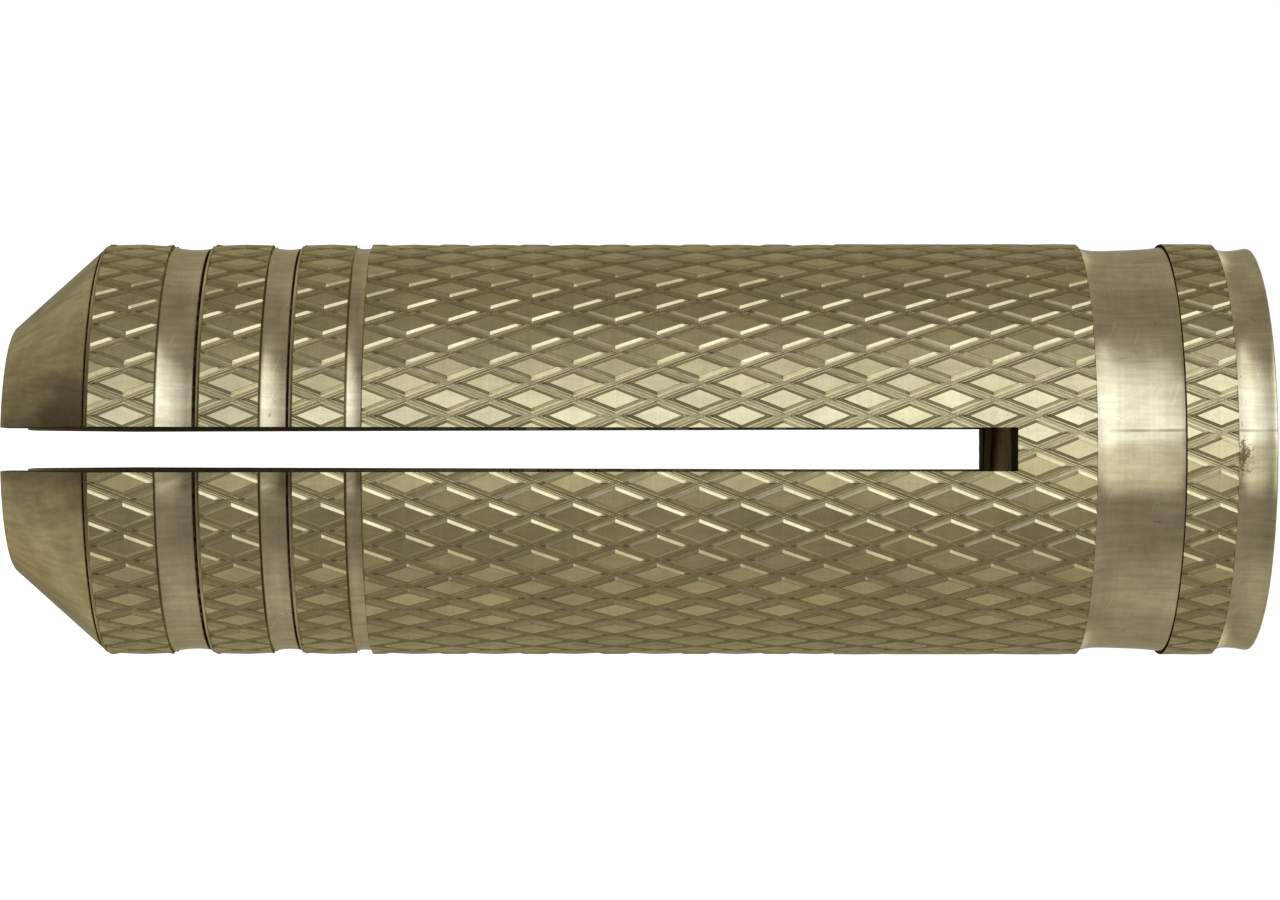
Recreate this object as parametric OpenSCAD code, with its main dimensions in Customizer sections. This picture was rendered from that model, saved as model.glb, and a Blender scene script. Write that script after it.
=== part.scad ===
// Brass expansion anchor: a turned sleeve with a tapped bore, knurled bands
// and a coned nose that is sawn into four legs. A machine screw driven in from
// the flat rear face wedges the legs apart against the wall of a drilled hole.
// The sleeve stands on its rear face. Z = 0 is that face, and +Z points along
// the axis to the nose.

/* [Body] */
// Diameter over the knurled bands
body_d = 10; // [9.6:0.1:10.6]
// Length from the rear face to the nose tip
body_len = 29.9; // [29.2:0.1:33]

/* [Rear end] */
// Diameter of the plain collar at the rear face, at its middle
collar_d = 9.68; // [9.3:0.02:9.76]
// Length of the plain collar
collar_len = 0.81; // [0.7:0.01:1.2]
// Width of the narrow knurled band in front of the collar
rear_band_len = 1.31; // [0.8:0.01:1.8]
// Width of the plain neck between the narrow band and the long one
neck_len = 2.04; // [1.6:0.01:2.6]
// Diameter at the bottom of the neck
neck_d = 9.68; // [9.3:0.02:9.76]

/* [Nose bands] */
// Diameter at the bottom of the grooves between the nose bands
groove_d = 9.76; // [9.4:0.02:9.8]
// Width of the first nose band, next to the cone
band_1_len = 1.55; // [1:0.01:2]
// Width of the groove between the first and second bands
groove_1_len = 1.07; // [0.8:0.01:1.4]
// Width of the second nose band
band_2_len = 1.39; // [1:0.01:1.8]
// Width of the groove between the second and third bands
groove_2_len = 0.72; // [0.55:0.01:1]
// Width of the third nose band
band_3_len = 1.23; // [0.9:0.01:1.7]
// Width of the thin groove between the third band and the long band
groove_3_len = 0.41; // [0.36:0.01:0.6]

/* [Nose cone] */
// Diameter of the flat at the nose tip
nose_d = 5.84; // [5:0.02:6.6]
// Length of the cone
cone_len = 2.32; // [1.8:0.01:2.8]

/* [Saw slots] */
// Width of each saw slot
slot_w = 1.02; // [0.6:0.02:1.2]
// Height above the rear face at which the deeper slot ends
slot_end_z = 6.04; // [5:0.01:9]
// Height above the rear face at which the shallower slot, across the first, ends
cross_slot_end_z = 10.03; // [5:0.01:14]

/* [Bore] */
// Bore diameter, which is the minor diameter of the M8 thread
bore_d = 6.7; // [6.6:0.02:6.9]
// Depth of the tapped length from the rear face
thread_depth = 18; // [14:0.5:19]
// Diameter of the chamfer at the mouth of the bore
mouth_d = 8.1; // [7.4:0.1:8.6]
// Diameter of the narrow hole through the nose
nose_hole_d = 3.2; // [2.4:0.1:4]
// Length of the cone inside the legs that narrows the bore to the nose hole
wedge_len = 6.5; // [5:0.1:7]

/* [Hidden] */
$fn = 96;
R = body_d / 2;
// heights of the band edges, counted down from the nose tip
z_cone = body_len - cone_len;
z_b1 = z_cone - band_1_len;
z_g1 = z_b1 - groove_1_len;
z_b2 = z_g1 - band_2_len;
z_g2 = z_b2 - groove_2_len;
z_b3 = z_g2 - band_3_len;
z_g3 = z_b3 - groove_3_len;
// heights of the rear features, counted up from the rear face
z_rb = collar_len + rear_band_len;
z_neck = z_rb + neck_len;
// the mouth chamfer is at 45 degrees
mouth_len = (mouth_d - bore_d) / 2;
z_wedge = thread_depth + wedge_len;

// One groove between two bands, as (radius, height) points going up: a short
// shoulder below, a floor that is very slightly hollow and a shoulder above
function groove(z0, z1, d, low, high) = [
    [R, z0], [d / 2, z0 + low], [d / 2 - 0.01, (z0 + low + z1 - high) / 2],
    [d / 2, z1 - high], [R, z1]];

// Half section of the outside, from the rear face to the nose tip
function outside() = concat(
    // collar: a small raised lip at the rear face, then a shallow hollow
    [[collar_d / 2 - 0.04, 0], [collar_d / 2 + 0.03, 0.03], [collar_d / 2 + 0.035, 0.16],
     [collar_d / 2 - 0.01, 0.24], [collar_d / 2 + 0.015, collar_len - 0.13]],
    [[R, collar_len], [R, z_rb]],
    // neck: a steep shoulder at the rear, a shallow hollow, and a slope to the long band
    [[neck_d / 2 + 0.025, z_rb + 0.17], [neck_d / 2, z_rb + 0.41], [neck_d / 2, z_neck - 0.58],
     [neck_d / 2 + 0.05, z_neck - 0.2], [R, z_neck]],
    groove(z_g3, z_b3, groove_d, 0.08, 0.14),
    groove(z_g2, z_b2, groove_d, 0.12, 0.19),
    groove(z_g1, z_b1, groove_d, 0.32, 0.22),
    [[R, z_cone], [nose_d / 2, body_len]]);

// Half section of the bore, from the nose tip back to the rear face
function inside() = [
    [nose_hole_d / 2, body_len], [nose_hole_d / 2, z_wedge], [bore_d / 2, thread_depth],
    [bore_d / 2, mouth_len], [mouth_d / 2, 0]];

// The turned blank: outside and bore in one half section
module blank() {
    rotate([0, 0, 45]) rotate_extrude() polygon(concat(outside(), inside()));
}

// One saw cut right across the nose, down to the height end_z
module saw_cut(end_z) {
    translate([-slot_w / 2, -R - 1, end_z])
        cube([slot_w, 2 * R + 2, body_len - end_z + 1]);
}

module anchor_sleeve() {
    color([0.71, 0.66, 0.47])
    difference() {
        blank();
        saw_cut(slot_end_z);
        rotate([0, 0, 90]) saw_cut(cross_slot_end_z);
    }
}

anchor_sleeve();
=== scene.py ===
"""Brass expansion anchor, standing on its rear face.

The turned sleeve is one closed mesh: knurled bands of real diamonds, the plain
grooves, neck, collar and cone between them, a tapped bore with a real helical
thread, and two saw slots cut across the nose.  Lengths are in millimetres while
the mesh is made and in metres in the scene.  The angle "turn" is measured from
the -Y side towards -X, in degrees, and z goes up from the rear face.
"""
import math

import bmesh
import bpy
import numpy as np
from mathutils import Matrix, Vector


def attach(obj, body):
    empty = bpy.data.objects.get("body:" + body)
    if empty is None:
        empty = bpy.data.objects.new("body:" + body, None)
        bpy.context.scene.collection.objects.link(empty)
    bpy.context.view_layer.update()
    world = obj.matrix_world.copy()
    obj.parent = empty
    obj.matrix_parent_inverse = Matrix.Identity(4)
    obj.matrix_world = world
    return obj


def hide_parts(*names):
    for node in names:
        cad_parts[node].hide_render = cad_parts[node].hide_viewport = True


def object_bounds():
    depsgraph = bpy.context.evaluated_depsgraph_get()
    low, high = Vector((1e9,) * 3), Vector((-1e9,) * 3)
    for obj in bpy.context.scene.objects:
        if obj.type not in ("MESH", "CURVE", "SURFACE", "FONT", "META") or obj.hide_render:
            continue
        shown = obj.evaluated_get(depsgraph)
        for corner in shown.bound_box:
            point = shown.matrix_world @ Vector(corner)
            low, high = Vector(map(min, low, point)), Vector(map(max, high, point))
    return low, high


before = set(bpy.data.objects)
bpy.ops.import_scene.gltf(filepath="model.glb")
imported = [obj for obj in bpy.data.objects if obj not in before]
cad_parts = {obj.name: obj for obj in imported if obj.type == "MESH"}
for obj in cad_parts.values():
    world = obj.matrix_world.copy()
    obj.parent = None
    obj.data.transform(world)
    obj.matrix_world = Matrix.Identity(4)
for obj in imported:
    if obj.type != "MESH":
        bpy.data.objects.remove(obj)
CAD_LO, CAD_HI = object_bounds()

MM = 0.001
LENGTH = (CAD_HI.z - CAD_LO.z) * 1000.0          # 29.9
R = 5.0                                           # over the knurl
rng = np.random.default_rng(20417)

# ---------------------------------------------------------------- dimensions
Z_COLLAR, Z_RB = 0.932, 2.125                     # rear knurled band
Z_MAIN0, Z_MAIN1 = 4.20, 21.22                    # long knurled band
Z_B3_0, Z_B3_1 = 21.635, 22.83
Z_B2_0, Z_B2_1 = 23.63, 24.99
Z_B1_0, Z_B1_1 = 26.055, 27.57
Z_CONE = 27.58
R_NOSE, R_HOLE = 2.95, 1.60
R_BORE, R_MAJOR, PITCH = 3.35, 4.00, 1.25
Z_THREAD, Z_WEDGE = 18.0, 24.5
SLOT_W, SLOT_Z, CROSS_Z = 1.02, 6.04, 10.03

# knurl: a diamond is 1.9465 mm long and takes 9 degrees of the turn
DIA_L, DIA_A, TURN0 = 1.9465, 9.0, 4.5
# groove section: distance from the groove's centre, in cells, and depth in mm
G_D = np.array([0.0, 0.030, 0.115, 0.214])
G_H = np.array([0.0435, 0.0465, 0.0368, 0.0])
R_FACET = 4.9905                                  # the diamonds' flat tops
R_GROOVE = 4.9935                                 # groove depths count from here
N_OUT, N_IN = 240, 96


# ---------------------------------------------------------------- mesh store
class Shell:
    def __init__(self):
        self.v, self.f, self.n = [], [], 0
        self.ring_shade = []                            # (height, painted shade) of the plain turned rings

    def verts(self, arr):
        arr = np.asarray(arr, float)
        i = self.n
        self.v.append(arr)
        self.n += len(arr)
        return np.arange(i, self.n)

    def ring(self, r, z, n):
        a = np.arange(n) * 2 * math.pi / n
        return self.verts(np.c_[r * np.cos(a), r * np.sin(a), np.full(n, z)])

    def strip(self, a, b):
        """Quads between two rings of the same count."""
        n = len(a)
        for i in range(n):
            j = (i + 1) % n
            self.f.append((a[i], a[j], b[j], b[i]))

    def stitch(self, a, b):
        """Triangles between two rings of any count, both sorted by angle."""
        pts = np.concatenate(self.v)
        two = 2 * math.pi
        aa = np.mod(np.arctan2(pts[a, 1], pts[a, 0]), two)
        bb = np.mod(np.arctan2(pts[b, 1], pts[b, 0]), two)
        a, aa = a[np.argsort(aa)], np.sort(aa)
        b, bb = b[np.argsort(bb)], np.sort(bb)
        na, nb = len(a), len(b)
        i = j = 0
        while i < na or j < nb:
            ta = aa[i + 1] if i + 1 < na else (aa[(i + 1) % na] + two if i < na else 1e9)
            tb = bb[j + 1] if j + 1 < nb else (bb[(j + 1) % nb] + two if j < nb else 1e9)
            if i < na and (ta <= tb or j >= nb):
                self.f.append((a[i % na], a[(i + 1) % na], b[j % nb]))
                i += 1
            else:
                self.f.append((a[i % na], b[(j + 1) % nb], b[j % nb]))
                j += 1


def clip(v, faces, z_lo, z_hi):
    """The part of a band between two heights, and its two end loops by angle."""
    me = bpy.data.meshes.new("clip")
    me.from_pydata([tuple(p) for p in v], [], [tuple(map(int, f)) for f in faces])
    bm = bmesh.new()
    bm.from_mesh(me)
    bpy.data.meshes.remove(me)
    for z, inner in ((z_lo, True), (z_hi, False)):
        bmesh.ops.bisect_plane(
            bm, geom=bm.verts[:] + bm.edges[:] + bm.faces[:], dist=1e-5,
            plane_co=(0, 0, z), plane_no=(0, 0, 1), clear_inner=inner, clear_outer=not inner)
    loose = [x for x in bm.verts if not x.link_faces]
    if loose:
        bmesh.ops.delete(bm, geom=loose, context="VERTS")
    bm.verts.index_update()
    pts = np.array([x.co[:] for x in bm.verts])
    fs = [tuple(x.index for x in f.verts) for f in bm.faces]
    edge = sorted({x.index for e in bm.edges if e.is_boundary for x in e.verts})
    lo = np.array([i for i in edge if abs(pts[i, 2] - z_lo) < 1e-3])
    hi = np.array([i for i in edge if abs(pts[i, 2] - z_hi) < 1e-3])
    bm.free()
    return pts, fs, lo, hi


def turn_xy(turn_deg, r):
    t = np.radians(turn_deg)
    return -r * np.sin(t), -r * np.cos(t)


def depth_of(d):
    return np.interp(d, G_D, G_H)


def knurl_band(shell, z_lo, z_hi, z0):
    """Diamonds on a cylinder: two families of grooves, on whole p and whole q."""
    near = list(G_D)
    bp = np.array(near + [1 - x for x in near[:0:-1]])   # 0 .. 1, without 1
    bx = np.append(bp, 1.0)
    n = len(bp)
    kind = [0, 1, 2, -1, 2, 1, 0]                        # ring of the groove that an interval is in
    s_lo, s_hi = 2 * (z0 - z_hi) / DIA_L, 2 * (z0 - z_lo) / DIA_L
    keys, pos, quads = [], [], []
    aa, bb = np.meshgrid(np.arange(n + 1), np.arange(n + 1), indexing="ij")
    for m in range(math.floor(s_lo) - 2, math.ceil(s_hi) + 1):
        for k in range(80):
            if (m + k) % 2:
                continue
            i, j = (m + k) // 2, (m - k) // 2
            p, q = i + bx[aa], j + bx[bb]
            dp = np.minimum(bx[aa], 1 - bx[aa])
            dq = np.minimum(bx[bb], 1 - bx[bb])
            z = z0 - DIA_L * (p + q) / 2
            turn = TURN0 + DIA_A * (p - q) / 2
            tc, zc = TURN0 + DIA_A * (i - j) / 2, z0 - DIA_L * (i + j + 1) / 2
            top = (dp > G_D[-1] - 1e-6) & (dq > G_D[-1] - 1e-6)
            tilt_t, tilt_z, sink = rng.normal(0, 0.0060), rng.normal(0, 0.008), abs(rng.normal(0, 0.0010))
            r_top = (R_FACET - sink) / np.cos(np.radians(turn - tc))
            r_top = r_top + tilt_t * np.radians(turn - tc) * R + tilt_z * (z - zc)
            r_top = np.minimum(r_top, 4.9995)
            r = np.where(top, r_top, R_GROOVE - depth_of(np.minimum(dp, dq)))
            x, y = turn_xy(turn, r)
            key = (n * i + aa + n * j + bb).astype(np.int64) * 100000 + np.mod(n * (i - j) + aa - bb, 80 * n)
            base = len(keys) * (n + 1) ** 2
            keys.append(key.ravel())
            pos.append(np.stack([x, y, z], -1).reshape(-1, 3))
            idx = base + np.arange((n + 1) ** 2).reshape(n + 1, n + 1)
            for a in range(n):
                for b in range(n):
                    c = (idx[a, b], idx[a + 1, b], idx[a + 1, b + 1], idx[a, b + 1])
                    if kind[a] >= 0 and kind[a] == kind[b]:
                        if (a < 3) == (b < 3):
                            quads += [(c[0], c[1], c[2]), (c[0], c[2], c[3])]
                        else:
                            quads += [(c[0], c[1], c[3]), (c[1], c[2], c[3])]
                    else:
                        quads.append(c)
    keys, pos = np.concatenate(keys), np.concatenate(pos)
    _, first, back = np.unique(keys, return_index=True, return_inverse=True)
    pts = pos[first]
    faces = [tuple(back[list(f)]) for f in quads]
    pts, faces, lo, hi = clip(pts, faces, z_lo, z_hi)
    ids = shell.verts(pts)
    off = ids[0]
    shell.f += [tuple(off + i for i in f) for f in faces]
    return lo + off, hi + off


def thread(shell):
    """A right-handed internal thread, opened out by the chamfer at the mouth."""
    vb = np.array([0.0, 0.125, 0.25, 0.354, 0.458, 0.5625, 0.6875, 0.844])
    rb = np.interp(vb, [0, 0.25, 0.5625, 0.6875, 1.0], [R_BORE, R_BORE, R_MAJOR, R_MAJOR, R_BORE])
    nb, turns = len(vb), int(Z_THREAD / PITCH) + 3
    rows = nb * (turns + 1)
    v = np.array([k + x for k in range(turns + 1) for x in vb]) - 1.15
    r = np.tile(rb, turns + 1)
    u = np.arange(N_IN)
    z = PITCH * (v[:, None] + u[None, :] / N_IN)
    rr = np.maximum(np.broadcast_to(r[:, None], z.shape), 4.05 - z)
    a = u[None, :] * 2 * math.pi / N_IN
    pts = np.stack([rr * np.cos(a), rr * np.sin(a), z], -1).reshape(-1, 3)
    faces = []
    for row in range(rows - 1):
        for c in range(N_IN):
            if c + 1 < N_IN:
                r0, r1, c1 = row, row + 1, c + 1
            else:
                r0, r1, c1 = row + nb, row + nb + 1, 0
                if r1 >= rows or r0 >= rows:
                    continue
            r0b, r1b = (row, row + 1)
            faces.append((r0b * N_IN + c, r1b * N_IN + c, r1 * N_IN + c1, r0 * N_IN + c1))
    pts, faces, lo, hi = clip(pts, faces, 0.05, Z_THREAD)
    # the seam column repeats positions of the next turn, so it has no doubles to weld
    ids = shell.verts(pts)
    off = ids[0]
    shell.f += [tuple(off + i for i in f) for f in faces]
    return lo + off, hi + off


# ---------------------------------------------------------------- the blank
def by_lean(r, pts):
    """A profile from its lean: points (height, degrees), a plus lean faces the nose."""
    out = [(r, pts[0][0], 0.0)]
    for (za, ta), (zb, tb) in zip(pts, pts[1:]):
        n = max(1, round((zb - za) / 0.09))
        for k in range(n):
            t = math.radians(ta + (tb - ta) * (k + 0.5) / n)
            r -= math.tan(t) * (zb - za) / n
            out.append((r, za + (zb - za) * (k + 1) / n, 0.0))
    return out


def foot(z_a, r_a, black):
    """The nose-side edge of a band: a small worn step, then a corner; both are painted darker as shade, the corner
    nearly black.
    """
    return [(r, z_a + z, d) for r, z, d in (
        (4.984, 0.008, 0.10), (4.975, 0.020, 0.55), (4.962, 0.034, 0.55), (4.957, 0.046, 0.12), (4.951, 0.084, 0.05),
        (4.944, 0.094, 0.50), (4.924, 0.103, 0.90), (4.904, 0.115, 0.95), (r_a + 0.008, black - 0.034, 0.92),
        (r_a + 0.003, black - 0.018, 0.60), (r_a + 0.001, black - 0.006, 0.15))]


def wall(z_b, r_b, d):
    """The rear-side edge of a band, seen from the groove below it; it is painted darker as shade."""
    return [(r_b + 0.004, z_b - 0.056, 0.25 * d), (r_b + 0.014, z_b - 0.044, 0.8 * d), (4.945, z_b - 0.028, d),
            (4.972, z_b - 0.014, d), (4.986, z_b - 0.004, 0.6 * d)]


def build_blank():
    s = Shell()
    rear_in = s.ring(4.05, 0.0, N_IN)
    first = s.ring(4.802, 0.0, N_OUT)
    s.stitch(rear_in, first)

    # each point is (radius, height, painted shade): the third number darkens the ring's colour as shade
    def run(prev, pts, same):
        for r, z, d in pts:
            cur = s.ring(r, z, N_OUT)
            s.ring_shade.append((z, d))
            (s.strip if same else s.stitch)(prev, cur)
            prev, same = cur, True
        return prev

    # collar: it flares gently to a rounded lip at the rear face
    collar = [(4.838, 0.004, 0.0), (4.857, 0.011, 0.0), (4.870, 0.021, 0.0), (4.8780, 0.034, 0.0), (4.8800, 0.052, 0.0),
              (4.8785, 0.080, 0.0),
              (4.8735, 0.115, 0.0), (4.865, 0.160, 0.0), (4.8562, 0.210, 0.0), (4.848, 0.260, 0.0), (4.841, 0.310, 0.0),
              (4.833, 0.380, 0.0), (4.828, 0.460, 0.0), (4.8255, 0.540, 0.0), (4.8258, 0.600, 0.0), (4.8300, 0.650, 0.0),
              (4.8380, 0.700, 0.0), (4.8505, 0.750, 0.0), (4.8675, 0.800, 0.0), (4.8898, 0.850, 0.0), (4.9153, 0.900, 0.0),
              (4.9290, 0.925, 0.0), (4.957, 0.928, 0.05), (4.984, 0.931, 0.05)]
    last = run(first, collar, True)
    lo, hi = knurl_band(s, Z_COLLAR, Z_RB, 1.344)
    s.stitch(last, lo)
    # neck; its first rings, at the step next to the rear band, are painted dark as shade
    neck = ([(4.984, 2.128, 0.85), (4.945, 2.133, 1.0), (4.918, 2.139, 0.9), (4.911, 2.148, 0.35)]
            + by_lean(4.908, [(2.160, 8), (2.36, 6), (2.56, 4), (2.86, 2.5), (3.16, 1.8), (3.46, 1.2), (3.66, 0), (3.80, -4),
                              (3.92, -8), (4.02, -14), (4.09, -21), (4.19, -28)])
            + [(4.962, 4.194, 0.05), (4.984, 4.198, 0.05)])
    last = run(hi, neck, False)
    lo, hi = knurl_band(s, Z_MAIN0, Z_MAIN1, 8.5415)
    s.stitch(last, lo)
    # the plain grooves between the bands: their corners at both band edges are painted dark as shade
    for pts, z_b, z_hi, z0 in (
            ([(4.985, 21.224, 0.1), (4.955, 21.234, 0.35), (4.915, 21.242, 0.35)]
             + by_lean(4.897, [(21.250, 9), (21.31, 6), (21.36, 4), (21.44, -2), (21.51, -7), (21.56, -11), (21.575, -12)])
             + wall(Z_B3_0, 4.894, 0.45), Z_B3_0, Z_B3_1, 22.1755),
            (foot(Z_B3_1, 4.882, 0.176)
             + by_lean(4.882, [(23.015, 8), (23.06, 6.5), (23.24, 0), (23.41, -7), (23.50, -11), (23.565, -14)])
             + wall(Z_B2_0, 4.900, 0.68), Z_B2_0, Z_B2_1, 24.2515),
            (foot(Z_B2_1, 4.878, 0.192)
             + by_lean(4.878, [(25.200, 8), (25.30, 4.6), (25.48, 0), (25.66, -4.5), (25.76, -7), (25.86, -9.5), (25.985, -13)])
             + wall(Z_B1_0, 4.918, 0.68), Z_B1_0, Z_B1_1, 26.7625)):
        last = run(hi, pts, False)
        lo, hi = knurl_band(s, z_b, z_hi, z0)
        s.stitch(last, lo)

    # cone, a little below the knurl's rim; its first rings, in the corner next to the band, are painted dark as shade
    def cone_r(z):
        return R + (R_NOSE - R) * (z - Z_CONE) / (LENGTH - Z_CONE)

    cone = [(r, Z_B1_1 + z, d) for r, z, d in (
        (4.984, 0.008, 0.10), (4.972, 0.022, 0.50), (4.959, 0.036, 0.55), (4.953, 0.050, 0.15), (4.944, 0.084, 0.10),
        (4.936, 0.095, 0.60), (4.910, 0.106, 1.0), (4.884, 0.130, 1.0))]
    cone += [(cone_r(27.722) - 0.004, 27.722, 0.5), (cone_r(27.745) - 0.003, 27.745, 0.0), (cone_r(27.79) - 0.003, 27.790, 0.0)]
    cone += [(cone_r(z) - 0.003, z, 0.0) for z in (27.95, 28.25, 28.6, 28.95, 29.3, 29.6, 29.8)]
    cone += [(cone_r(29.865) - 0.006, 29.866, 0.0), (R_NOSE - 0.014, 29.889, 0.0), (R_NOSE - 0.045, LENGTH, 0.0)]
    last = run(hi, cone, False)
    # nose face and the bore, going down
    hole = s.ring(R_HOLE + 0.05, LENGTH, N_IN)
    s.stitch(last, hole)
    prev = hole
    for r, z in ((R_HOLE, LENGTH - 0.05), (R_HOLE, 27.5), (R_HOLE, Z_WEDGE), (2.2, Z_WEDGE - 2.22), (2.8, Z_WEDGE - 4.45),
                 (3.34, Z_THREAD + 0.02)):
        cur = s.ring(r, z, N_IN)
        s.strip(prev, cur)
        prev = cur
    lo, hi = thread(s)
    s.stitch(prev, hi)
    s.stitch(lo, rear_in)
    return s


def mesh_from(name, pts, faces):
    me = bpy.data.meshes.new(name)
    me.from_pydata([tuple(p) for p in pts], [], [tuple(map(int, f)) for f in faces])
    me.validate()
    return me


def slot_cutter(name, along_y, z_end, near_top, far_top):
    """A saw cut: its half width is SLOT_W / 2 at the foot and near_top / far_top at the nose."""
    h, y = SLOT_W / 2, 6.5
    top = LENGTH + 0.8
    k = (top - z_end) / (LENGTH - z_end)
    pts = []
    for z, (wn, wf) in ((z_end, (h, h)), (top, (h + (near_top - h) * k, h + (far_top - h) * k))):
        mid = (wn + wf) / 2
        d = (wf - wn) / 2 * y / 5.0
        pts += [(-(mid - d), -y, z), (mid - d, -y, z), (mid + d, y, z), (-(mid + d), y, z)]
    if not along_y:
        pts = [(-q[1], q[0], q[2]) for q in pts]
    faces = [(3, 2, 1, 0), (4, 5, 6, 7), (0, 1, 5, 4), (1, 2, 6, 5), (2, 3, 7, 6), (3, 0, 4, 7)]
    me = mesh_from(name, np.array(pts), faces)
    ob = bpy.data.objects.new(name, me)
    bpy.context.scene.collection.objects.link(ob)
    return ob


def cut_slots(me):
    """The blank less the two saw cuts, as a new mesh."""
    want = None
    for solver in ("MANIFOLD", "EXACT"):
        ob = bpy.data.objects.new("blank", me.copy())
        bpy.context.scene.collection.objects.link(ob)
        cutters = [slot_cutter("cut_a", True, SLOT_Z, 0.530, 0.4500),
                   slot_cutter("cut_b", False, CROSS_Z, 0.51, 0.51)]
        for c in cutters:
            mod = ob.modifiers.new("cut", "BOOLEAN")
            mod.operation, mod.solver, mod.object = "DIFFERENCE", solver, c
        dg = bpy.context.evaluated_depsgraph_get()
        out = bpy.data.meshes.new_from_object(ob.evaluated_get(dg))
        for o in [ob] + cutters:
            old = o.data
            bpy.data.objects.remove(o)
            bpy.data.meshes.remove(old)
        n = len(out.vertices)
        co = np.empty(n * 3)
        out.vertices.foreach_get("co", co)
        co = co.reshape(-1, 3)
        gap = (np.abs(co[:, 0]) < 0.3) & (co[:, 2] > SLOT_Z + 0.5) & (np.hypot(co[:, 0], co[:, 1]) > 3.0)
        if n > 1000 and not gap.any():
            print("slots cut by", solver, "verts", n, "faces", len(out.polygons))
            return out
        want = out
    raise RuntimeError("the saw slots could not be cut: %d verts" % len(want.vertices))


# ---------------------------------------------------------------- materials
def nodes_of(mat):
    mat.use_nodes = True
    nt = mat.node_tree
    nt.nodes.clear()
    return nt


class Net:
    """A few short-hands for wiring nodes."""

    def __init__(self, nt):
        self.nt = nt

    def node(self, kind, **kw):
        n = self.nt.nodes.new(kind)
        for k, v in kw.items():
            setattr(n, k, v)
        return n

    def put(self, node, **vals):
        for k, v in vals.items():
            s = node.inputs[k.replace("_", " ")] if k.replace("_", " ") in node.inputs else node.inputs[k]
            if hasattr(v, "links"):
                self.nt.links.new(v, s)
            else:
                s.default_value = v
        return node

    def math(self, op, a, b=None, c=None, clamp=False):
        n = self.node("ShaderNodeMath", operation=op, use_clamp=clamp)
        for i, v in enumerate((a, b, c)):
            if v is None:
                continue
            if hasattr(v, "links"):
                self.nt.links.new(v, n.inputs[i])
            else:
                n.inputs[i].default_value = v
        return n.outputs[0]

    def scale(self, vec, s):
        n = self.node("ShaderNodeVectorMath", operation="MULTIPLY")
        self.nt.links.new(vec, n.inputs[0])
        n.inputs[1].default_value = s
        return n.outputs[0]

    def noise(self, vec, scale=1.0, detail=2.0, rough=0.5, distortion=0.0):
        n = self.node("ShaderNodeTexNoise")
        self.nt.links.new(vec, n.inputs["Vector"])
        n.inputs["Scale"].default_value = scale
        n.inputs["Detail"].default_value = detail
        n.inputs["Roughness"].default_value = rough
        n.inputs["Distortion"].default_value = distortion
        return n.outputs["Fac"]

    def ramp(self, fac, stops, interp="LINEAR"):
        n = self.node("ShaderNodeValToRGB")
        n.color_ramp.interpolation = interp
        els = n.color_ramp.elements
        while len(els) > 1:
            els.remove(els[-1])
        for i, (p, c) in enumerate(stops):
            e = els[0] if i == 0 else els.new(min(max(p, 0.0), 1.0))
            e.position = min(max(p, 0.0), 1.0)
            e.color = (*c, 1) if isinstance(c, tuple) else (c, c, c, 1)
        self.nt.links.new(fac, n.inputs[0])
        return n.outputs[0]

    def mix(self, fac, a, b, blend="MIX"):
        n = self.node("ShaderNodeMix", data_type="RGBA", blend_type=blend, clamp_factor=True)
        for s, v in ((n.inputs[0], fac), (n.inputs[6], a), (n.inputs[7], b)):
            if hasattr(v, "links"):
                self.nt.links.new(v, s)
            else:
                s.default_value = v if not isinstance(v, tuple) else (*v, 1)
        return n.outputs[2]

    def remap(self, v, a, b, c, d):
        n = self.node("ShaderNodeMapRange", clamp=True)
        self.nt.links.new(v, n.inputs[0])
        for i, x in enumerate((a, b, c, d)):
            n.inputs[i + 1].default_value = x
        return n.outputs[0]


BRASS = (0.720, 0.612, 0.358)


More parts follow.
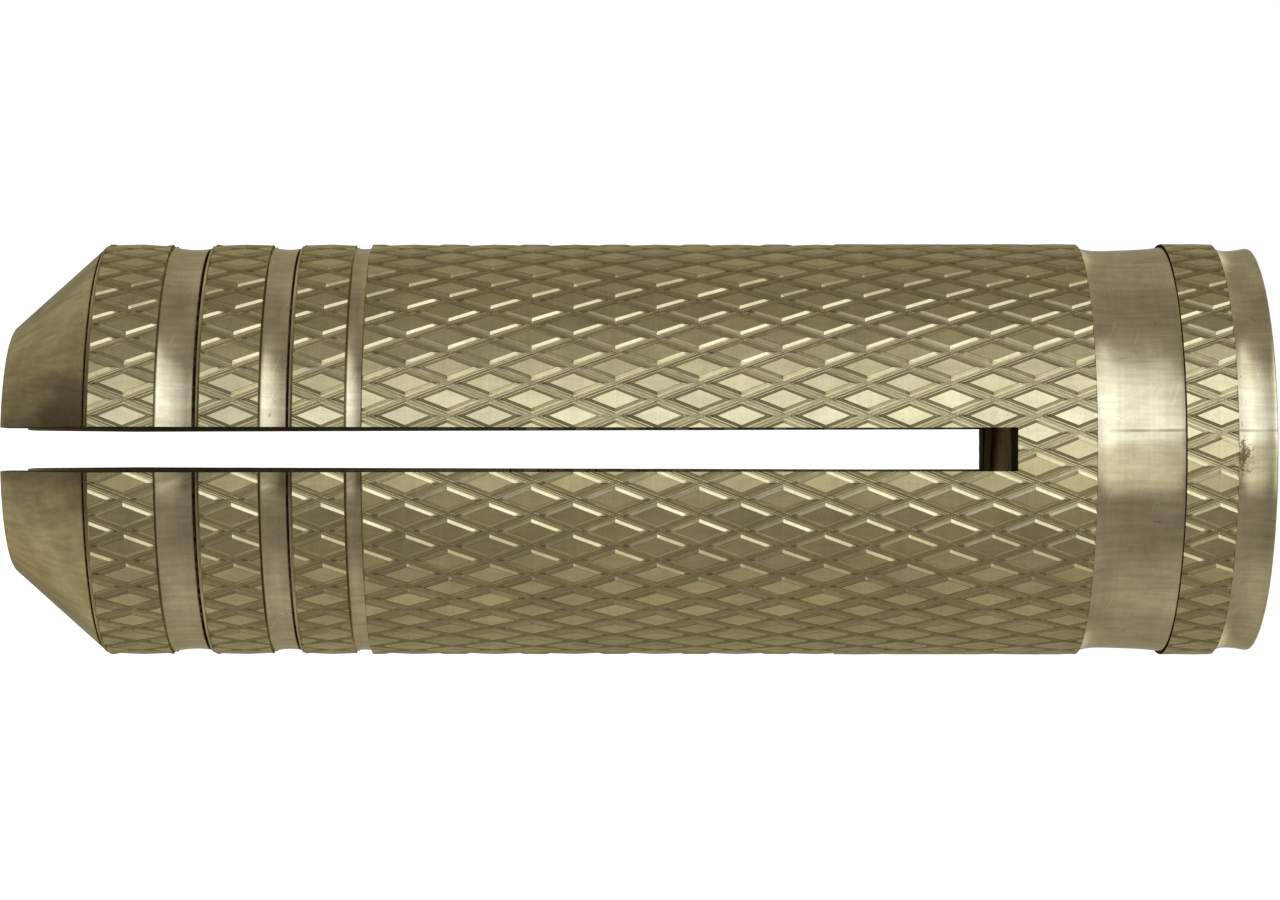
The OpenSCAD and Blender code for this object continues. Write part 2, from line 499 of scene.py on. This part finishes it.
def brass(name, base=BRASS, rough=0.22, aniso=0.0, dirt_and_shade=False, rings=0.0, drawn=0.0, mottle=0.0, bump=0.0,
          mottle_col=(0.60, 0.50, 0.24), dirt_and_shade_col=(0.016, 0.013, 0.008), edge=(0.88, 0.82, 0.68), rough_var=0.04,
          speck=0.0, scratch=0.0, cloud=0.0, smudges_and_shade=None, swirl=0.0, line=0.0, groove_marks_and_shade=False):
    mat = bpy.data.materials.new(name)
    nt = nodes_of(mat)
    w = Net(nt)
    out = w.node("ShaderNodeOutputMaterial")
    bsdf = w.node("ShaderNodeBsdfPrincipled")
    nt.links.new(bsdf.outputs[0], out.inputs[0])
    bsdf.inputs["Metallic"].default_value = 1.0
    bsdf.inputs["Specular Tint"].default_value = (*edge, 1)
    tc = w.node("ShaderNodeTexCoord").outputs["Object"]
    mm = w.scale(tc, (1000.0, 1000.0, 1000.0))
    sep = w.node("ShaderNodeSeparateXYZ")
    nt.links.new(mm, sep.inputs[0])
    x, y, z = sep.outputs
    turn = w.math("MULTIPLY", w.math("ARCTAN2", w.math("MULTIPLY", x, -1.0), w.math("MULTIPLY", y, -1.0)), 180 / math.pi)
    lay = w.node("ShaderNodeCombineXYZ")                                # the surface laid flat, in mm
    nt.links.new(w.math("MULTIPLY", turn, R * math.pi / 180), lay.inputs[0])
    nt.links.new(z, lay.inputs[1])
    flat = lay.outputs[0]

    def stretched(angle, along, across, detail=2.0):
        """Noise drawn out along a direction on the laid-out surface."""
        r = w.node("ShaderNodeMapping", vector_type="TEXTURE")
        nt.links.new(flat, r.inputs[0])
        r.inputs["Rotation"].default_value = (0, 0, math.radians(angle))
        return w.noise(w.scale(r.outputs[0], (1 / along, 1 / across, 1.0)), 1.0, detail, 0.6)

    col = base
    ring_n = stretched(0.0, 3.2, 0.085, 2.0)                            # left by turning: run round the part
    drawn_n = stretched(90.0, 1.5, 0.17, 2.0)                           # left by drawing the bar: run along it
    grain = w.noise(mm, 9.0, 2.0, 0.65)
    big = w.noise(w.scale(mm, (0.55, 0.55, 0.40)), 1.0, 2.0, 0.55)
    height = None if groove_marks_and_shade else w.math("ADD", w.math("MULTIPLY", ring_n, 0.6), w.math("MULTIPLY", drawn_n, 0.4))
    if mottle:
        col = w.mix(w.math("MULTIPLY", w.remap(big, 0.42, 0.68, 0.0, 1.0), mottle), col, mottle_col)
    if cloud:
        c = w.noise(mm, 1.3, 3.0, 0.62)
        col = w.mix(1.0, col, w.remap(c, 0.30, 0.70, 1.0 - cloud, 1.0 + cloud * 0.5), "MULTIPLY")
    if rings:
        col = w.mix(1.0, col, w.remap(ring_n, 0.32, 0.68, 1.0 - rings, 1.0 + rings * 0.5), "MULTIPLY")
    if drawn:
        col = w.mix(1.0, col, w.remap(drawn_n, 0.32, 0.68, 1.0 - drawn, 1.0 + drawn * 0.5), "MULTIPLY")
    if swirl:
        nt.links.new(w.math("MULTIPLY", w.math("ABSOLUTE", turn), R * math.pi / 180), lay.inputs[0])
        k = w.math("ADD", w.math("MULTIPLY", stretched(66.0, 1.5, 0.34, 3.0), 0.62),
                   w.math("MULTIPLY", stretched(52.0, 0.8, 0.13, 4.0), 0.38))
        col = w.mix(1.0, col, w.remap(k, 0.34, 0.66, 1.0 - swirl, 1.0 + swirl * 0.7), "MULTIPLY")
        height = w.math("ADD", height, w.math("MULTIPLY", k, 0.8))
    if scratch:
        for angle, along, across, cut in ((18.0, 1.4, 0.035, 0.69), (-31.0, 1.1, 0.030, 0.70), (93.0, 1.8, 0.030, 0.69)):
            m = w.remap(stretched(angle, along, across, 1.0), cut, cut + 0.04, 0.0, 1.0)
            col = w.mix(w.math("MULTIPLY", m, scratch), col, (0.95, 0.90, 0.70) if angle > 0 else (0.34, 0.28, 0.15))
            if not groove_marks_and_shade and angle == 18.0:
                height = w.math("SUBTRACT", height, w.math("MULTIPLY", m, 1.2))
    if speck:
        sp = w.noise(mm, 3.2, 4.0, 0.7)
        col = w.mix(w.math("MULTIPLY", w.remap(sp, 0.665, 0.72, 0.0, 1.0), speck), col, (0.22, 0.17, 0.08))
    if line:                                                            # one faint dark line along the part, at turn -5.15, strongest below height 3.4
        m = w.math("MULTIPLY", w.remap(w.math("ABSOLUTE", w.math("ADD", turn, 5.15)), 0.20, 0.52, 1.0, 0.0),
                   w.math("MULTIPLY", w.remap(stretched(90.0, 0.9, 5.0, 1.0), 0.36, 0.56, 0.45, 1.0),
                          w.remap(z, 3.4, 4.0, 1.0, 0.15)))
        col = w.mix(w.math("MULTIPLY", m, line), col, (0.24, 0.195, 0.10))
    streak = stretched(66.0, 2.4, 0.8, 4.0) if smudges_and_shade and smudges_and_shade[-1][2] >= 1.0 else None
    for zc, tc_, hz, ht, amount in smudges_and_shade or ():                        # dark patches, some real grime and some painted shade: height, turn, half sizes, depth
        e = w.math("SQRT", w.math("ADD",
                                  w.math("POWER", w.math("MULTIPLY", w.math("SUBTRACT", z, zc), 1 / hz), 2.0),
                                  w.math("POWER", w.math("MULTIPLY", w.math("SUBTRACT", turn, tc_), 1 / ht), 2.0)))
        if hz < 1.0:
            e = w.math("ADD", e, w.remap(w.noise(mm, 11.0, 2.0, 0.8), 0.32, 0.68, -0.70, 0.70))
        else:
            e = w.math("ADD", e, w.remap(streak, 0.25, 0.75, -0.6, 0.6))
        col = w.mix(w.math("MULTIPLY", w.remap(e, 0.45, 1.10, 1.0, 0.0), amount), col, (0.125, 0.095, 0.042))
    rv = w.remap(grain, 0.3, 0.7, rough - rough_var, rough + rough_var)
    if groove_marks_and_shade:                                                           # fine tool lines along the rolled grooves, each diamond's own tone, and painted shade in the grooves
        z0 = w.node("ShaderNodeAttribute", attribute_name="lattice").outputs["Fac"]
        a = w.math("MULTIPLY", w.math("SUBTRACT", z0, z), 1 / DIA_L)
        b = w.math("MULTIPLY", w.math("SUBTRACT", turn, TURN0), 1 / DIA_A)
        fs, cell = [], []
        for f in (w.math("ADD", a, b), w.math("SUBTRACT", a, b)):
            fs.append(w.math("SUBTRACT", f, w.math("ROUND", f)))
            cell.append(w.math("FLOOR", f))
        own = w.node("ShaderNodeTexWhiteNoise", noise_dimensions="3D")  # every diamond has its own tone
        key = w.node("ShaderNodeCombineXYZ")
        nt.links.new(w.math("ADD", *cell), key.inputs[0])
        nt.links.new(w.math("FLOORED_MODULO", w.math("SUBTRACT", *cell), 80.0), key.inputs[1])
        nt.links.new(z0, key.inputs[2])
        nt.links.new(key.outputs[0], own.inputs["Vector"])
        col = w.mix(1.0, col, w.ramp(own.outputs["Value"], [
            (0.0, (0.86, 0.865, 0.83)), (0.25, (0.93, 0.91, 0.93)), (0.5, (0.975, 0.985, 0.91)), (0.75, (1.0, 0.99, 1.0)),
            (1.0, (1.07, 1.06, 1.03))]), "MULTIPLY")
        ab = [w.math("ABSOLUTE", f) for f in fs]
        inner = [w.remap(x, 0.118, 0.136, 1.0, 0.0) for x in ab]        # on the floor of a groove
        ridges = []
        for f, at_ in zip(fs, inner):
            r = w.math("ADD", w.remap(w.math("ABSOLUTE", w.math("SUBTRACT", f, 0.092)), 0.0, 0.026, 1.0, 0.0),
                       w.remap(w.math("ABSOLUTE", w.math("ADD", f, 0.060)), 0.0, 0.022, 0.6, 0.0))
            ridges.append(w.math("MULTIPLY", r, at_))
        tool = w.math("MAXIMUM", *ridges)
        wear_and_shade_noise = w.noise(mm, 3.0, 2.0, 0.6)
        tool = w.math("MULTIPLY", tool, w.remap(wear_and_shade_noise, 0.35, 0.60, 0.50, 1.0))
        # painted shade: the lines below darken the diamonds' acute tips, the spots where the grooves cross, each
        # groove's crease and its rims
        u = w.math("ABSOLUTE", w.math("MULTIPLY", w.math("ADD", *fs), 0.5))
        v = w.math("ABSOLUTE", w.math("MULTIPLY", w.math("SUBTRACT", *fs), 0.5))
        tip = w.math("MULTIPLY", w.remap(w.math("ABSOLUTE", w.math("SUBTRACT", u, 0.125)), 0.030, 0.060, 1.0, 0.0),
                     w.remap(v, 0.030, 0.060, 1.0, 0.0))
        pip = w.math("MULTIPLY", w.remap(u, 0.012, 0.030, 1.0, 0.0), w.remap(v, 0.020, 0.040, 1.0, 0.0))
        crease = w.math("MAXIMUM", *[w.remap(w.math("ABSOLUTE", w.math("SUBTRACT", q, 0.055)), 0.007, 0.022, 1.0, 0.0) for q in ab])
        shade = w.math("MAXIMUM", w.math("MULTIPLY", tip, 0.75), w.math("MULTIPLY", crease, 0.30))
        shade = w.math("MAXIMUM", shade, w.math("MULTIPLY", pip, 0.60))
        rims = [w.math("MULTIPLY", w.remap(w.math("ABSOLUTE", w.math("SUBTRACT", q, G_D[-1] - 0.005)), 0.003, 0.014, 1.0, 0.0),
                       w.remap(o, G_D[-1] - 0.02, G_D[-1] + 0.01, 0.35, 1.0)) for q, o in (ab, ab[::-1])]
        shade = w.math("MAXIMUM", shade, w.math("MULTIPLY", w.math("MAXIMUM", *rims), 0.70))
        shade = w.math("MULTIPLY", shade, w.remap(wear_and_shade_noise, 0.35, 0.65, 0.75, 1.10), clamp=True)
        # the painted shade pulls the colour towards dark brown
        col = w.mix(shade, col, (0.10, 0.078, 0.034))
    # painted shade and grime: where the attribute is high the colour goes dark brown, then near black, and the
    # reflection is tinted darker; painted shade at the band corners, and grime that is partly painted shade on the
    # groove floors
    if dirt_and_shade:
        at = w.node("ShaderNodeAttribute", attribute_name="dirt_and_shade").outputs["Fac"]
        brk = w.noise(mm, 6.0, 2.0, 0.6)
        d = w.math("MULTIPLY", at, w.remap(brk, 0.3, 0.7, 0.86, 1.15), clamp=True)
        col = w.mix(w.remap(d, 0.0, 0.5, 0.0, 1.0), col, (0.36, 0.295, 0.135))
        col = w.mix(w.remap(d, 0.4, 1.0, 0.0, 1.0), col, dirt_and_shade_col)
        rv = w.math("ADD", rv, w.math("MULTIPLY", d, 0.25))
        nt.links.new(w.mix(d, edge, (0.10, 0.08, 0.05)), bsdf.inputs["Specular Tint"])
    nt.links.new(col, bsdf.inputs["Base Color"])
    nt.links.new(rv, bsdf.inputs["Roughness"])
    bsdf.inputs["Anisotropic"].default_value = aniso
    if aniso:
        tan = w.node("ShaderNodeTangent", direction_type="RADIAL", axis="Z")
        nt.links.new(tan.outputs[0], bsdf.inputs["Tangent"])
        bsdf.inputs["Anisotropic Rotation"].default_value = 0.25
    if bump:
        b = w.node("ShaderNodeBump")
        b.inputs["Strength"].default_value = 1.0
        b.inputs["Distance"].default_value = bump * MM
        height = w.math("MULTIPLY", tool, 0.0050 / bump) if groove_marks_and_shade else w.math("ADD", height, w.math("MULTIPLY", grain, 0.12))
        nt.links.new(height, b.inputs["Height"])
        nt.links.new(b.outputs[0], bsdf.inputs["Normal"])
    return mat


# ---------------------------------------------------------------- the object
def classify(me):
    n = len(me.polygons)
    c, nr = np.empty(n * 3), np.empty(n * 3)
    me.polygons.foreach_get("center", c)
    me.polygons.foreach_get("normal", nr)
    c, nr = c.reshape(-1, 3), nr.reshape(-1, 3)
    r = np.hypot(c[:, 0], c[:, 1])
    z = c[:, 2]
    kind = np.full(n, 4)                                                # bore
    outside = (r > 4.62) | ((z > Z_CONE) & (r > R + (R_NOSE - R) * (z - Z_CONE) / (LENGTH - Z_CONE) - 0.07))
    band = np.zeros(n, bool)
    for a, b in ((Z_COLLAR, Z_RB), (Z_MAIN0, Z_MAIN1), (Z_B3_0, Z_B3_1), (Z_B2_0, Z_B2_1), (Z_B1_0, Z_B1_1)):
        band |= (z > a) & (z < b)
    kind[outside] = 1
    kind[outside & (z > Z_CONE + 0.02)] = 2
    kind[outside & band & (r > 4.9)] = 0
    kind[(np.abs(z) < 0.006) & (nr[:, 2] < -0.9)] = 1                   # rear face
    kind[(z > LENGTH - 0.01) & (nr[:, 2] > 0.9)] = 1                    # nose face
    wall = (np.abs(nr[:, 0]) > 0.95) & (np.abs(np.abs(c[:, 0]) - 0.5) < 0.09) & (z > SLOT_Z - 0.01)
    wall |= (np.abs(nr[:, 1]) > 0.95) & (np.abs(np.abs(c[:, 1]) - 0.51) < 0.02) & (z > CROSS_Z - 0.01)
    wall |= (nr[:, 2] > 0.95) & (np.abs(z - SLOT_Z) < 0.01) & (np.abs(c[:, 0]) < 0.53)
    wall |= (nr[:, 2] > 0.95) & (np.abs(z - CROSS_Z) < 0.01) & (np.abs(c[:, 1]) < 0.53)
    kind[wall] = 3
    return kind


def band_z0(me):
    """The height of the lattice's origin in the band that each vertex is in."""
    co = np.empty(len(me.vertices) * 3)
    me.vertices.foreach_get("co", co)
    z = co[2::3]
    return np.select([z < 3.0, z < 21.4, z < 23.2, z < 25.5], [1.344, 8.5415, 22.1755, 24.2515], 26.7625)


# per point: painted shade at the turned rings' corners, and in the bands a darkening with groove depth that is grime
# and partly painted shade
def vertex_dirt_and_shade(me, ring_shade):
    n = len(me.vertices)
    co = np.empty(n * 3)
    me.vertices.foreach_get("co", co)
    co = co.reshape(-1, 3)
    r, z = np.hypot(co[:, 0], co[:, 1]), co[:, 2]
    ring_shade = sorted(ring_shade)
    d = np.interp(z, [q[0] for q in ring_shade], [q[1] for q in ring_shade])
    inband = np.zeros(n, bool)
    for a, b in ((Z_COLLAR, Z_RB), (Z_MAIN0, Z_MAIN1), (Z_B3_0, Z_B3_1), (Z_B2_0, Z_B2_1), (Z_B1_0, Z_B1_1)):
        inband |= (z > a - 1e-3) & (z < b + 1e-3)
    deep = np.clip((R_GROOVE - 0.003 - r) / 0.0435, 0, 1)
    # in the bands, darker with the groove's depth: grime in the knurl's grooves, partly painted shade
    d = np.where(inband, np.interp(deep, [0, 0.15, 0.75, 0.86, 0.93, 1.0], [0.0, 0.02, 0.07, 0.19, 0.22, 0.42]), d)
    return np.where(r < 4.6, np.where(z > Z_CONE, d, 0.0), d)


shell = build_blank()
pts = np.concatenate(shell.v)
blank = mesh_from("blank_mesh", pts, shell.f)
bm = bmesh.new()
bm.from_mesh(blank)
bmesh.ops.remove_doubles(bm, verts=bm.verts[:], dist=1e-5)
bad = [e for e in bm.edges if not e.is_manifold]
print("blank: verts", len(bm.verts), "faces", len(bm.faces), "bad edges", len(bad), "volume", round(bm.calc_volume(signed=True), 2))
for e in bad[:12]:
    print("  bad", [tuple(round(q, 4) for q in v.co) for v in e.verts], len(e.link_faces))
bm.to_mesh(blank)
bm.free()
anchor_me = cut_slots(blank)
bpy.data.meshes.remove(blank)
bm = bmesh.new()
bm.from_mesh(anchor_me)
idle = [v for v in bm.verts if len(v.link_edges) == 2]                  # points left half way along a sawn edge
bmesh.ops.dissolve_verts(bm, verts=idle)
print("idle points", len(idle))
bm.to_mesh(anchor_me)
bm.free()
anchor_me.name = "anchor_sleeve_detailed"

kind = classify(anchor_me)
dirt_and_shade = vertex_dirt_and_shade(anchor_me, shell.ring_shade)
at = anchor_me.attributes.new("dirt_and_shade", "FLOAT", "POINT")
at.data.foreach_set("value", dirt_and_shade.astype(np.float32))
at = anchor_me.attributes.new("lattice", "FLOAT", "POINT")
at.data.foreach_set("value", band_z0(anchor_me).astype(np.float32))
mats = [
    brass("brass_knurl", base=(0.695, 0.592, 0.308), rough=0.23, dirt_and_shade=True, rings=0.05, drawn=0.07, mottle=0.30, cloud=0.12,
          scratch=0.20, bump=0.0006, rough_var=0.03, mottle_col=(0.60, 0.51, 0.265), groove_marks_and_shade=True),
    # brass_turned: the first patch, on the collar, is real grime; the two at height 24 beside the slot are painted
    # shade
    brass("brass_turned", rough=0.19, aniso=0.6, dirt_and_shade=True, rings=0.05, drawn=0.14, mottle=0.32, cloud=0.16, bump=0.0004,
          speck=0.6, scratch=0.35, line=0.85, smudges_and_shade=[(0.83, 1.9, 0.20, 4.3, 0.90), (24.0, -7.4, 6.5, 4.2, 0.33), (24.0, 6.9, 6.5, 4.9, 0.68)]),
    # brass_cone: its patch beside the slot is partly tarnish and partly painted shade
    brass("brass_cone", base=(0.585, 0.508, 0.272), rough=0.34, aniso=0.3, dirt_and_shade=True, rings=0.03, drawn=0.0, mottle=0.8,
          cloud=0.22, swirl=0.24, bump=0.0010, mottle_col=(0.47, 0.37, 0.175), scratch=0.15,
          smudges_and_shade=[(28.1, -8.0, 1.6, 17.0, 0.50)]),
    # the saw cut walls: dark brass with a near-black edge tint, partly tarnish and partly painted shade in the cuts
    brass("brass_sawn_tarnish_and_shade", base=(0.30, 0.24, 0.12), edge=(0.05, 0.04, 0.025), rough=0.5, rings=0.25, bump=0.004),
    brass("brass_bore", base=(0.40, 0.315, 0.145), edge=(0.60, 0.50, 0.32), rough=0.42, rings=0.2, bump=0.002),
]
anchor_me.materials.clear()
for m in mats:
    anchor_me.materials.append(m)
anchor_me.polygons.foreach_set("material_index", kind.astype(np.int32))
anchor_me.transform(Matrix.Scale(MM, 4))
anchor_me.set_sharp_from_angle(angle=math.radians(24))
anchor_me.polygons.foreach_set("use_smooth", ((kind != 0) & (kind != 3)).astype(bool))
anchor_me.update()
anchor = bpy.data.objects.new("anchor_sleeve_detailed", anchor_me)
bpy.context.scene.collection.objects.link(anchor)
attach(anchor, "root")
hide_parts("anchor_sleeve")
anchor_me.calc_loop_triangles()
print("anchor triangles", len(anchor_me.loop_triangles))

# ---------------------------------------------------------------- stage
def stage_only_seen(ob):
    ob.visible_diffuse = ob.visible_glossy = ob.visible_transmission = False
    ob.visible_volume_scatter = ob.visible_shadow = False


def white(name, glow, albedo):
    mat = bpy.data.materials.new(name)
    nt = nodes_of(mat)
    w = Net(nt)
    out = w.node("ShaderNodeOutputMaterial")
    b = w.node("ShaderNodeBsdfPrincipled")
    b.inputs["Base Color"].default_value = (albedo, albedo, albedo, 1)
    b.inputs["Roughness"].default_value = 1.0
    b.inputs["Specular IOR Level"].default_value = 0.0
    b.inputs["Emission Color"].default_value = (1, 1, 1, 1)
    b.inputs["Emission Strength"].default_value = glow
    nt.links.new(b.outputs[0], out.inputs[0])
    return mat


bm = bmesh.new()
bmesh.ops.create_uvsphere(bm, u_segments=48, v_segments=24, radius=1.6)
me = bpy.data.meshes.new("backdrop")
bm.to_mesh(me)
bm.free()
backdrop = bpy.data.objects.new("backdrop", me)
me.materials.append(white("backdrop_white", 1.2, 0.0))
bpy.context.scene.collection.objects.link(backdrop)
stage_only_seen(backdrop)

bm = bmesh.new()
bmesh.ops.create_circle(bm, cap_ends=True, segments=96, radius=1.5)
me = bpy.data.meshes.new("floor")
bm.to_mesh(me)
bm.free()
floor = bpy.data.objects.new("floor", me)
floor.location = (0, 0, -0.00002)
me.materials.append(white("floor_white", 0.84, 0.8))
bpy.context.scene.collection.objects.link(floor)
stage_only_seen(floor)

# ---------------------------------------------------------------- light
# Soft boxes on the world's sphere.  Each has an azimuth range (degrees from -Y
# towards +X), a soft edge on either side and a strength.  They hang low, so they
# fade out above the horizon.
world = bpy.data.worlds.new("studio")
bpy.context.scene.world = world
world.use_nodes = True
nt = world.node_tree
nt.nodes.clear()
w = Net(nt)
gen = w.node("ShaderNodeTexCoord").outputs["Generated"]
sep = w.node("ShaderNodeSeparateXYZ")
nt.links.new(gen, sep.inputs[0])
dx, dy, dz = sep.outputs
az = w.math("MULTIPLY", w.math("ARCTAN2", dx, w.math("MULTIPLY", dy, -1.0)), 180 / math.pi)
el = w.math("MULTIPLY", w.math("ARCSINE", w.math("MINIMUM", w.math("MAXIMUM", dz, -1.0), 1.0)), 180 / math.pi)


def smooth(v, a, b):
    m = w.node("ShaderNodeMapRange", interpolation_type="SMOOTHSTEP", clamp=True)
    nt.links.new(v, m.inputs[0])
    m.inputs[1].default_value, m.inputs[2].default_value = a, b
    m.inputs[3].default_value, m.inputs[4].default_value = 0.0, 1.0
    return m.outputs[0]


def box(lo_edge, hi_edge, colour, low_hang, lean=(0.0, 0.0)):
    """A soft box between two edges, each given as (where it is dark, where it is full), and leaning."""
    lo = w.math("ADD", az, lean[0] if hasattr(lean[0], "links") else w.math("MULTIPLY", el, lean[0]))
    hi = w.math("ADD", az, w.math("MULTIPLY", el, lean[1]))
    f = w.math("MULTIPLY", smooth(lo, *lo_edge), w.math("SUBTRACT", 1.0, smooth(hi, hi_edge[1], hi_edge[0])))
    return w.mix(1.0, w.math("MULTIPLY", f, low_hang), colour, "MULTIPLY")


def fade(pairs):
    return w.ramp(w.math("ADD", w.math("MULTIPLY", el, 1 / 180), 0.5), [((a + 90) / 180, v) for a, v in pairs])


def lobe(direction, wide, colour):
    n = w.node("ShaderNodeVectorMath", operation="DOT_PRODUCT")
    nt.links.new(gen, n.inputs[0])
    n.inputs[1].default_value = Vector(direction).normalized()
    return w.mix(1.0, smooth(n.outputs["Value"], math.cos(math.radians(wide)), 1.0), colour, "MULTIPLY")


hang = fade([(-90, 0.55), (-60, 0.75), (-35, 0.98), (-21, 1.08), (-14, 1.06), (-7, 0.98), (0, 0.80), (7, 0.64), (14, 0.45),
             (20, 0.28), (30, 0.12), (42, 0.04), (90, 0.0)])
rise = fade([(-90, 0.2), (-20, 0.45), (-6, 0.60), (6, 1.0), (25, 1.0), (50, 0.5), (90, 0.0)])


def shift(pairs):
    """Degrees that an edge moves by, from the height."""
    return w.math("MULTIPLY", w.math("SUBTRACT", fade([(a, 0.5 + v / 80) for a, v in pairs]), 0.5), 80.0)


lights = [
    # main box, with a soft fall to the right, and its dimmer left part
    box((0.0, 9.0), (59, 11), (0.70, 0.870, 1.38), hang,
        (shift([(-90, 4), (-18, 4), (-12, 0), (6, 0), (14, -8), (30, -20), (90, -20)]), 0.55)),
    box((-30.0, -17.0), (59, 37), (0.61, 0.65, 0.705), hang, (shift([(-90, 0), (6, 0), (14, -14), (30, -36), (90, -36)]), 0.55)),
    # a card low on the left, and narrow ones on the right
    box((-120, -92), (-54, -76), (0.200, 0.195, 0.202),
        fade([(-90, 0.2), (-22, 0.40), (-12, 0.45), (-8, 0.60), (-4, 0.95), (4, 1.0), (10, 0.80), (20, 0.4), (35, 0.1), (90, 0.0)])),
    box((46, 62), (78, 62), (0.11, 0.11, 0.12), hang),
    box((66, 82), (136, 120), (0.12, 0.115, 0.10), fade([(-90, 0.0), (8, 0.0), (14, 1.0), (35, 1.0), (50, 0.0), (90, 0.0)])),
]
# wide cards behind on either side, and a low box right behind, for the back of the part
side = w.math("ABSOLUTE", az)
wide = w.math("MULTIPLY", w.math("SUBTRACT", smooth(w.math("MAXIMUM", w.math("SUBTRACT", az, 4.0), w.math("MULTIPLY", az, -1.0)), 84, 114),
                                 smooth(side, 165, 178)), rise)
lights.append(w.mix(1.0, wide, (0.145, 0.145, 0.138), "MULTIPLY"))
behind = w.math("MULTIPLY", smooth(side, 128, 158),
                fade([(-90, 0.10), (-50, 0.55), (-30, 1.0), (-20, 1.0), (-11, 0.2), (-6, 0.0), (90, 0.0)]))
lights.append(w.mix(1.0, behind, (0.62, 0.63, 0.66), "MULTIPLY"))
total = w.mix(1.0, fade([(-90, 0.31), (-30, 0.29), (0, 0.265), (30, 0.21), (60, 0.10), (90, 0.04)]), (1.0, 0.99, 0.97), "MULTIPLY")
for x in lights:
    total = w.mix(1.0, total, x, "ADD")
for direction, wide, colour in (((-0.53, 0.32, 0.79), 40, (0.40, 0.38, 0.35)),
                                ((0.53, 0.34, 0.78), 38, (0.28, 0.265, 0.25))):
    total = w.mix(1.0, total, lobe(direction, wide, colour), "ADD")
bg = w.node("ShaderNodeBackground")
nt.links.new(total, bg.inputs[0])
bg.inputs[1].default_value = 1.0
wo = w.node("ShaderNodeOutputWorld")
nt.links.new(bg.outputs[0], wo.inputs[0])

# ---------------------------------------------------------------- camera
cam = bpy.data.cameras.new("camera")
cam.sensor_fit = "HORIZONTAL"
cam.sensor_width = 36.0
cam.lens = 111.108
cam.shift_x, cam.shift_y = 0.018617, -0.00055
cam.clip_start, cam.clip_end = 0.001, 10.0
camo = bpy.data.objects.new("camera", cam)
bpy.context.scene.collection.objects.link(camo)
camo.matrix_world = Matrix(((0, 1, 0, 0.0), (0, 0, -1, -0.0962625), (-1, 0, 0, 0.015334), (0, 0, 0, 1)))
bpy.context.scene.camera = camo
bpy.context.scene.view_settings.view_transform = "Standard"
bpy.context.scene.view_settings.look = "None"
